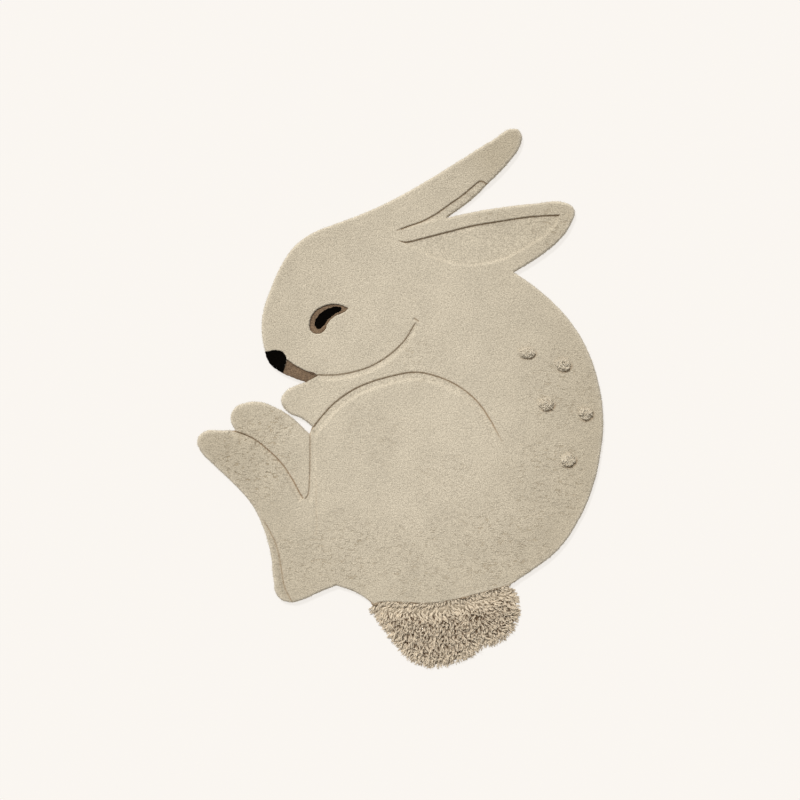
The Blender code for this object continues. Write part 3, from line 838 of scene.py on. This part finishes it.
# %% Make the coloured fields
FIELD_STEP = 1.7 * MM
EYE_FOOT = 9.0 * MM
EYE_SPREAD, RIM_COVER = 1.4 * MM, 1.3 * MM
FIELD_LOOK = {
    "nose_pile": (rim_side_field(14.6 * MM), BLACK, "black_pile"),
    "mouth_pile": (rim_side_field(12.0 * MM), TAN, "tan_pile"),
    "eye_ring_pile": (level_field(12.0 * MM), TAN, "tan_pile"),
    "eye_pile": (level_field(13.2 * MM), BLACK, "black_pile"),
}
for name, (height_at, material, slot) in FIELD_LOOK.items():
    outline = FIELDS[name]
    at_rim = gap_to(outline, RABBIT) < 1.8 * MM
    more = EYE_SPREAD if name == "eye_pile" else at_rim * RIM_COVER
    outline = outline + left_normals(outline, closed=True) * np.reshape(more, (-1, 1))
    piece = pile_field(
        name.replace("_pile", "_wool"), outline, FIELD_STEP, lambda points: height_at(points, outline),
        EYE_FOOT if name == "eye_pile" else PILE_FOOT + 0.3 * MM, material,
        rings=(0.6, 1.5, 2.8), grain=0.3, fray=0.45,
    )
    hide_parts(name)

# %% [markdown]
# ## Strands
#
# Loose fibre, shag and knots are all the same thing at other sizes: a thin tapered
# tube that leaves its root in one direction and bends. Each point stores how far
# along its strand it is, and a tone of the strand. A low `thin` makes flat slivers.

# %% Make many strands at once
WAVE_TURN = 5.0


def tube_faces(count, rings, sides):
    """Faces of many open-ended tubes, with the tip of each closed."""
    base = (np.arange(count) * rings * sides)[:, None]
    faces = []
    for k in range(rings - 1):
        for s in range(sides):
            n = (s + 1) % sides
            corners = np.array([k * sides + s, k * sides + n, (k + 1) * sides + n, (k + 1) * sides + s])
            faces.append(base + corners)
    tip = base + np.arange((rings - 1) * sides, rings * sides)
    return np.concatenate(faces).tolist() + tip.tolist()


def strands(
    name, roots, heading, bend, length, radius, material, slot,
    sides, shares, taper, wave=0.0, lightened=0.0, thin=1.0,
):
    count, rings = len(roots), len(shares)
    across = unit(np.cross(heading, (0.13, 0.27, 0.95)))
    up = np.cross(heading, across)
    phase = random.uniform(0, 2 * np.pi, count)
    points = np.zeros((count, rings, sides, 3))
    for k, (share, thick) in enumerate(zip(shares, taper)):
        middle = roots + heading * (length * share)[:, None] + bend * (length * share**2)[:, None]
        sway, turn = wave * share * length, WAVE_TURN * share + phase
        middle = middle + across * (sway * np.sin(turn))[:, None] + up * (sway * np.cos(turn))[:, None]
        for s in range(sides):
            angle = 2 * np.pi * s / sides - np.pi / 2
            rim = across * np.cos(angle) + up * np.sin(angle) * thin
            points[:, k, s] = middle + rim * (radius * thick)[:, None]
    points[..., 2] = np.maximum(points[..., 2], 0.3 * MM)
    piece = make_piece(name, points.reshape(-1, 3), tube_faces(count, rings, sides), material)
    if thin < 1:
        piece.data.shade_flat()
    along = np.tile(np.repeat(shares, sides), count)
    # The yarn colour runs from a root painted dark as shade to a light tip; lightened moves a strand toward
    # its tip colour.
    mark(piece, "along", np.clip(along + np.repeat(np.broadcast_to(lightened, count), rings * sides), 0, 1))
    mark(piece, "tone", np.repeat(random.uniform(0, 1, count), rings * sides))
    print(f"{name}: {count} strands, {count * ((rings - 1) * sides * 2 + sides - 2)} triangles")
    return piece


def around(count, spread):
    """Random level directions, each with a length of up to spread."""
    angle = random.uniform(0, 2 * np.pi, count)
    size = random.uniform(0, spread, count)
    return np.column_stack([np.cos(angle) * size, np.sin(angle) * size])


def leaning(count, spread, low, high):
    """Random directions: up to spread sideways, and from low to high upward."""
    return np.column_stack([around(count, spread), random.uniform(low, high, count)])


def sizes_mm(low, high, count):
    return random.uniform(low, high, count) * MM


# %% [markdown]
# ## Yarn material
#
# A strand is dark at its root, where its neighbours shade it, and light at its cut
# tip. Strands also differ a little from one another, as hand-spun wool does.

# %% Yarn that lightens along its length
def yarn(name, root, tip, dull=0.82):
    material, tree, shader = matt(
        name, Roughness=0.95, Specular_IOR_Level=0.1, Sheen_Weight=0.15, Sheen_Roughness=0.6
    )
    ramp = tree.nodes.new("ShaderNodeValToRGB")
    start, end = ramp.color_ramp.elements
    start.color, end.color, end.position = (*root, 1), (*tip, 1), 0.7
    tree.links.new(stored(tree, "along"), ramp.inputs["Fac"])
    shade = spread(tree, stored(tree, "tone"), 0.0, 1.0, dull, 1.05)
    tree.links.new(scaled(tree, ramp.outputs["Color"], shade), shader.inputs["Base Color"])
    return material


SHAG_YARN = yarn("shag_yarn", (0.18, 0.118, 0.068), (0.71, 0.60, 0.45), dull=0.8)
TUFT_YARN = yarn("tuft_yarn", (0.50, 0.43, 0.325), (0.70, 0.615, 0.475), dull=0.9)
TAN_YARN = yarn("tan_yarn", (0.12, 0.07, 0.04), (0.25, 0.165, 0.10))
LOOSE_FIBRE = yarn("loose_fibre", (0.52, 0.455, 0.35), (0.67, 0.59, 0.455), dull=0.74)

# %% [markdown]
# ## Loose fibre on the pile
#
# Shearing leaves short cut ends. They lie down in the pile and break up the light,
# so they are low three-sided slivers. None grows where the nose, mouth or eye is.

# %% Fibres over the body
FIBRES_ABOVE = 4 * MM
SHORT = dict(sides=3, shares=(0, 0.55, 1.0))


def surface_samples(piece, count):
    """Random places on a piece's surface, with the surface direction there."""
    mesh = piece.data
    mesh.calc_loop_triangles()
    corners = np.array([t.vertices for t in mesh.loop_triangles])
    place = np.array([v.co for v in mesh.vertices])
    a, b, c = (place[corners[:, k]] for k in range(3))
    normal = np.cross(b - a, c - a)
    size = np.linalg.norm(normal, axis=1)
    normal /= np.maximum(size, 1e-15)[:, None]
    size = np.where(a[:, 2] > FIBRES_ABOVE, size, 0)
    pick = random.choice(len(size), count, p=size / size.sum())
    u, v = random.random((2, count, 1))
    u, v = np.where(u + v > 1, 1 - u, u), np.where(u + v > 1, 1 - v, v)
    return a[pick] + u * (b - a)[pick] + v * (c - a)[pick], normal[pick]


def loose_fibres(name, piece, count):
    roots, normal = surface_samples(piece, count)
    bare = np.ones(count, bool)
    for outline in POCKETS.values():
        bare &= ~inside(roots[:, :2], outline) & (gap_to(roots[:, :2], outline) > 1.6 * MM)
    roots, normal, count = roots[bare], normal[bare], bare.sum()
    turn = random.uniform(0, 2 * np.pi, count)
    level = np.column_stack([np.cos(turn), np.sin(turn), np.zeros(count)])
    level -= normal * (level * normal).sum(1)[:, None]
    heading = unit(level + normal * random.uniform(0.0, 0.22, count)[:, None])
    bend = leaning(count, 0.7, -0.15, -0.02)
    length, radius = sizes_mm(2.4, 5.0, count), sizes_mm(0.2, 0.36, count)
    return strands(
        name, roots + normal * 0.1 * MM, heading, bend, length, radius, LOOSE_FIBRE, "oatmeal_pile",
        taper=(0.8, 1.0, 0.3), thin=0.22, **SHORT,
    )


body_fibres = [loose_fibres(f"body_fibres_{half}", body, 11000) for half in ("a", "b")]

# %% [markdown]
# ## Loose fibre at the rim
#
# At the rim the cut ends stick out past the last row of yarn and make the edge
# soft. These are cream, so they stop where the tail, the nose and the mouth begin.

# %% Fibres round the rim
rim = evenly(RABBIT, 0.6 * MM, closed=True)
outward = left_normals(rim, closed=True)
oatmeal_only = gap_to(rim, SEAM, closed=False) > 3 * MM
for name in ("nose_pile", "mouth_pile"):
    oatmeal_only &= gap_to(rim, FIELDS[name]) > 3 * MM
rim, outward = rim[oatmeal_only], outward[oatmeal_only]
count = len(rim)
heading = leaning(count, 1.1, -0.3, 0.8)
heading[:, :2] += outward * 0.7
roots = np.column_stack([rim - outward * 0.5 * MM, sizes_mm(3.5, 9.5, count)])
bend = leaning(count, 0.7, -0.4, 0.0)
rim_fibres = strands(
    "rim_fibres", roots, unit(heading), bend, sizes_mm(1.4, 3.2, count), sizes_mm(0.12, 0.24, count),
    LOOSE_FIBRE, "oatmeal_pile", taper=(1.0, 0.9, 0.3), **SHORT,
)

# %% [markdown]
# ## Strays at the mouth
#
# Where the tan yarn of the mouth ends, a few of its yarns lie over the cream pile.

# %% Strays at the corner of the mouth
CORNER = np.array((-19.6, 5.9)) * CM


def fallen_yarns(
    name, places, scatter, turns, height, rise, spread, sag, length, radius, material, slot, **look
):
    """Single yarns that lie over the pile near the given places."""
    count = len(places)
    turn = random.uniform(*turns, count)
    roots = np.column_stack([places + around(count, scatter), sizes_mm(*height, count)])
    heading = np.column_stack([np.cos(turn), np.sin(turn), random.uniform(*rise, count)])
    bend = leaning(count, spread, *sag)
    return strands(
        name, roots, heading, bend, sizes_mm(*length, count), sizes_mm(*radius, count), material, slot,
        sides=5, shares=(0, 0.4, 0.75, 1.0), taper=(1.0, 0.95, 0.7, 0.15), **look,
    )


mouth_strays = fallen_yarns(
    "mouth_strays", np.tile(CORNER, (16, 1)), 7 * MM, turns=(-0.8, 1.0), height=(11.5, 13.5),
    rise=(0.1, 0.5), spread=0.5, sag=(-0.3, 0.0), length=(5, 9), radius=(0.4, 0.65),
    material=TAN_YARN, slot="tan_pile", wave=0.15,
)

# %% [markdown]
# ## The shag tail
#
# The tail is the same canvas with long yarn that is never sheared. The yarns clump
# into locks, and between those one looks down to roots in shade. So the tail is a low
# core, painted dark away from the seam as shade under the locks, with thousands of
# locks, and each lock is several strands that share a way to lie and draw together at
# their tips.

# %% Core of the tail
TAIL = CM * smooth_path([
    (23.9, -41.4), (25.5, -43.2), (26.2, -45.6), (25.9, -48.7), (24.1, -51.9), (21.0, -54.2), (18.5, -54.5),
    (15.6, -56.9), (9.6, -58.9), (6.0, -59.0), (2.4, -57.5), (-0.6, -54.5), (-3.5, -50.5), (-6.1, -47.0),
    (-6.2, -45.6), (-3.5, -44.9), (1.1, -45.1), (7.1, -45.2), (12.2, -44.4), (16.8, -43.3), (20.8, -42.2),
], closed=True)
CORE_LOW, CORE_RISE = 4.5, 5.5


def tail_places(points):
    """How far each point is from the edge of the tail, and from the seam."""
    return gap_to(points, TAIL, 0.08), gap_to(points, SEAM, 0.2, closed=False)


def tail_core_height(points):
    edge, seam = tail_places(points)
    lumps = rough(points, 22 * MM, 3.0) + 0.5 * rough(points, 11 * MM, 4.0)
    inner = smooth_step(edge, 0, 0.020)
    rise = np.maximum(inner, 1 - smooth_step(seam, 0.003, 0.016))
    # Painted shade on the core under the locks: none near the seam, most inside the tail.
    dark = smooth_step(seam, 0.010, 0.036) * (0.45 + 0.55 * inner)
    return (CORE_LOW + CORE_RISE * rise + 1.6 * lumps * inner) * MM, dark


tail_inner = evenly(TAIL, 3 * MM, closed=True)
inset = 0.2 * MM + 3.8 * MM * smooth_step(tail_places(tail_inner)[1], 0.003, 0.012)
tail_inner = tail_inner - left_normals(tail_inner, closed=True) * inset[:, None]
tail_core = pile_field(
    "tail_core", tail_inner, 3.0 * MM, tail_core_height, PILE_FOOT, SHAG_CORE,
    rings=(1.0, 2.4), grain=0.9, fray=0.6,
)
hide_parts("tail_shag")

# %% [markdown]
# ## How the locks lie
#
# Locks flow away from a point inside the body, and fan out sideways at the tail's
# edge. A slow swirl turns whole groups of them one way or the other.

# %% Directions of the locks
TAIL_TURN = np.array((9.0, -34.0)) * CM


def lock_flow(places, edge, seam):
    flow = unit(places - TAIL_TURN)
    out = left_normals(TAIL, closed=True)
    nearest = np.array([((TAIL - p) ** 2).sum(1).argmin() for p in places])
    sideways = (1 - smooth_step(edge, 0.004, 0.030)) * smooth_step(seam, 0.006, 0.020) * 0.6
    flow = unit(flow * (1 - sideways)[:, None] + out[nearest] * sideways[:, None])
    swirl = 1.5 * rough(places, 26 * MM, 14.0)
    return flow + np.column_stack([-flow[:, 1], flow[:, 0]]) * swirl[:, None]


# %% [markdown]
# ## Two layers of locks
#
# Shag could be one layer of loose hair, but then it looks like fur. On the rug a few
# yarns share each hole of the canvas and lean one way. A first layer lies low and
# covers the core. A second one stands up in the middle of the tail.

# %% Locks of yarn
def shag_layer(name, step, per_lock, length_mm, radius_mm, stand, wander, root_depth, sides, wave):
    places = jittered_grid(TAIL, step, 0.40)
    places = places[inside(places, TAIL) & (gap_to(places, TAIL, 0.05) > 1.2 * MM)]
    edge, seam = tail_places(places)
    deep = smooth_step(edge, 0.004, 0.024) * smooth_step(seam, 0.014, 0.044)
    count = len(places)
    flow = lock_flow(places, edge, seam) + around(count, wander) * (0.30 + 0.70 * deep)[:, None]
    lift = stand[0] + (stand[1] - stand[0]) * deep + random.uniform(-0.15, 0.25, count)
    curl = around(count, 0.35) + around(count, 0.6) * deep[:, None]
    curl = np.column_stack([curl, -0.30 - 0.35 * random.random(count)])
    raised = 3.6 * (1 - smooth_step(seam, 0.002, 0.014))
    base = tail_core_height(places)[0] + (raised - root_depth) * MM
    shorter = (0.64 + 0.36 * smooth_step(edge, 0.003, 0.012)) * (1 - 0.15 * deep)
    lock_length = sizes_mm(*length_mm, count) * shorter
    many = np.repeat(np.arange(count), per_lock)
    aside = np.column_stack([around(len(many), 1.7 * MM), np.zeros(len(many))])
    roots = np.column_stack([places, base])[many] + aside
    length = lock_length[many] * random.uniform(0.8, 1.1, len(many))
    heading = unit(np.column_stack([flow, lift])[many] + leaning(len(many), 0.16, -0.08, 0.08))
    gather = -aside * 0.6 / np.maximum(length, 1e-6)[:, None]
    radius = sizes_mm(*radius_mm, len(many))
    return strands(
        name, roots, heading, curl[many] + gather, length, radius, SHAG_YARN, "tail_shag", sides=sides,
        shares=(0, 0.28, 0.55, 0.8, 1.0), taper=(0.9, 1.0, 1.0, 0.85, 0.4),
        wave=wave, lightened=0.8 * (1 - deep[many]),
    )


shag_layer(
    "tail_shag_under", 4.8 * MM, per_lock=2, length_mm=(12, 17), radius_mm=(0.65, 1.0),
    stand=(0.12, 0.5), wander=0.4, root_depth=1.0, sides=4, wave=0.16,
)
shag_layer(
    "tail_shag_upper", 6.8 * MM, per_lock=4, length_mm=(12.5, 17.5), radius_mm=(0.9, 1.25),
    stand=(0.22, 1.25), wander=0.6, root_depth=0.5, sides=5, wave=0.2,
)

# %% [markdown]
# ## The edge between pile and shag
#
# There is no seam in the cloth. The pile just stops, and some of the long yarns
# fall over its edge, so the dark line between the two is broken here and there.

# %% Yarns that cross the seam
seam_path = evenly(SEAM, 1.5 * MM)
seam_path = seam_path[random.random(len(seam_path)) < 0.62 + 0.5 * rough(seam_path, 24 * MM, 31.0)]
fallen_yarns(
    "tail_seam_yarns", seam_path, 2.0 * MM, turns=(-2.9, 0.3), height=(11.0, 13.2), rise=(0.0, 0.4),
    spread=0.6, sag=(-0.35, -0.1), length=(4.5, 8), radius=(0.75, 1.1),
    material=SHAG_YARN, slot="tail_shag", wave=0.2, lightened=0.55,
)

# %% [markdown]
# ## Knots on the back
#
# Five tufts of unsheared yarn stand on the back like the spots of a fawn. Each is a
# small irregular mound of curled ends, shown by the shade in its cracks and below,
# part cast and part painted.

# %% Make the five back tufts
KNOT_RISE = 8.0
CURLS, STRAYS = 360, 20


def back_tuft(name, cx, cy, wide, high):
    centre, half = np.array((cx, cy)) * CM, np.array((wide, high)) * MM / 2
    angle = np.linspace(0, 2 * np.pi, 48, endpoint=False)
    ring = np.column_stack([np.cos(angle), np.sin(angle)])
    ring = ring[::-1] * (0.94 + 0.55 * rough(ring + (cx, cy), 0.8, 2.0))[:, None]

    def mound_height(points):
        away = np.linalg.norm((points - centre) / half, axis=1)
        lumps = rough(points, 7 * MM, 3.0) + 0.5 * rough(points, 3.5 * MM, 7.0)
        mound = np.clip(1.25 - away**2, 0, 1) ** 0.35
        # Painted shade in the cracks between lumps.
        crack_shade = smooth_step(-lumps, 0.1, 0.6) * 0.5
        return PILE_TOP - 2.0 * MM + (KNOT_RISE * mound * (0.75 + 0.6 * lumps) + 1.0) * MM, crack_shade

    mound = pile_field(
        name + "_mound", centre + ring * half * 1.02, 1.7 * MM, mound_height, PILE_TOP - 2.5 * MM, TUFT_WOOL,
        rings=(0.8, 1.8), grain=0.3, fray=0.4,
    )
    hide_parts(name)
    flat = around(CURLS, 1.0)
    flat *= (np.linalg.norm(flat, axis=1) ** -0.42)[:, None]
    flat[:STRAYS] = np.array((-0.75, 0.55)) + around(STRAYS, 0.6)
    places = centre + flat * half
    out = np.linalg.norm(flat, axis=1)
    rise = np.where(out < 0.95, mound_height(places)[0], PILE_TOP + 0.5 * MM)
    heading = leaning(CURLS, 1.0, 0.2, 0.9)
    heading[:, :2] -= flat * (1.3 * smooth_step(out, 0.35, 0.95))[:, None]
    bend = leaning(CURLS, 0.7, -1.0, -0.5)
    strands(
        name + "_curls", np.column_stack([places, rise - 0.5 * MM]), unit(heading), bend,
        sizes_mm(5, 8.5, CURLS), sizes_mm(0.6, 0.95, CURLS), TUFT_YARN, "oatmeal_pile", sides=5,
        shares=(0, 0.25, 0.5, 0.75, 1.0), taper=(0.8, 1.0, 1.0, 0.9, 0.5), wave=0.3, lightened=0.3,
    )


for number, place in enumerate(BACK_TUFTS, 1):
    back_tuft(f"back_tuft_{number}", *place)

# %% [markdown]
# ## The back of the rug
#
# Underneath, a hand-tufted rug has a plain cotton cloth glued over the ends of the
# yarn. It is set in a little from the rim, and it is what lies on the floor.

# %% Backing cloth
BACKING_TOP = 2.0 * MM
CLOTH, cloth_tree, shader = matt("backing_cloth", Base_Color=(0.62, 0.56, 0.46, 1), Roughness=0.9)
place = cloth_tree.nodes.new("ShaderNodeTexCoord").outputs["Object"]
weave = add_node(cloth_tree, "ShaderNodeTexChecker", {"Scale": 900.0, "Vector": place})
bump = add_node(cloth_tree, "ShaderNodeBump", {"Distance": 0.0004, "Height": weave.outputs["Fac"]})
cloth_tree.links.new(bump.outputs["Normal"], shader.inputs["Normal"])


def backing(name, outline, inset):
    edge = evenly(outline, 4 * MM, closed=True)
    edge = edge - left_normals(edge, closed=True) * inset
    count = len(edge)
    points = np.concatenate([np.column_stack([edge, np.full(count, z)]) for z in (0.0, BACKING_TOP)])
    a, b = np.arange(count), np.roll(np.arange(count), -1)
    faces = np.column_stack([a, a + count, b + count, b]).tolist()
    faces += [a.tolist(), (a + count)[::-1].tolist()]
    piece = make_piece(name, points, faces, CLOTH)
    piece.data.shade_flat()
    print(f"{name}: {count} points round its edge")
    return piece


body_backing = backing("body_backing", RABBIT, 1.5 * MM)
backing("tail_backing", TAIL, 6 * MM)

# %% [markdown]
#
# Its fields, fibres and backing go with it.

# %% [markdown]
# ## A plain floor
#
# The photograph's ground is an even warm white. A floor that is lit mostly from
# within keeps that white, and still takes a faint shadow from the rug.

# %% Floor
FLOOR_REACH = 16
floor_material, _, _ = matt(
    "studio_floor", Base_Color=(0.12, 0.12, 0.12, 1), Roughness=1.0, Specular_IOR_Level=0.0,
    Emission_Color=(0.819, 0.784, 0.741, 1), Emission_Strength=1.0,
)
floor_mesh = bpy.data.meshes.new("floor")
near, far = -FLOOR_REACH, FLOOR_REACH
floor_mesh.from_pydata([(near, near, 0), (far, near, 0), (far, far, 0), (near, far, 0)], [], [(0, 1, 2, 3)])
floor_mesh.materials.append(floor_material)
floor = bpy.data.objects.new("floor", floor_mesh)
floor.location.z = -0.2 * MM
add_to_scene(floor)

# %% [markdown]
# ## Light
#
# The light comes from beyond the ears and a little from the rabbit's nose side, so
# walls that face the tail are dark. A pale world fills the shadows.

# %% Sun and world
sun_data = bpy.data.lights.new("key", "SUN")
sun_data.energy = 3.15
sun_data.angle = 0.14
sun = bpy.data.objects.new("key", sun_data)
sun.location = (-1.2, 2.2, 2.75)
sun.rotation_euler = sun.location.to_track_quat("Z", "Y").to_euler()
add_to_scene(sun)
world = bpy.data.worlds.new("studio")
world.use_nodes = True
sky = world.node_tree.nodes["Background"].inputs
sky["Color"].default_value = (1.0, 0.99, 0.97, 1)
sky["Strength"].default_value = 0.42
bpy.context.scene.world = world
bpy.context.scene.view_settings.view_transform = "Standard"

# %% [markdown]
# ## Camera
#
# The photograph looks straight down. At the height of the pile, the camera's field
# is as wide as the photograph.

# %% Camera
FIELD_WIDTH = 1.771
CAMERA_HEIGHT = 4.0
PICTURE_SHIFT = -0.0011
SENSOR_MM = 36
camera = bpy.data.objects.new("camera", bpy.data.cameras.new("camera"))
camera.data.sensor_width = SENSOR_MM
camera.data.lens = SENSOR_MM * CAMERA_HEIGHT / FIELD_WIDTH
camera.location = (0, PICTURE_SHIFT, CAMERA_HEIGHT + PILE_TOP)
add_to_scene(camera)
bpy.context.scene.camera = camera
print("lens, mm:", round(camera.data.lens, 1))
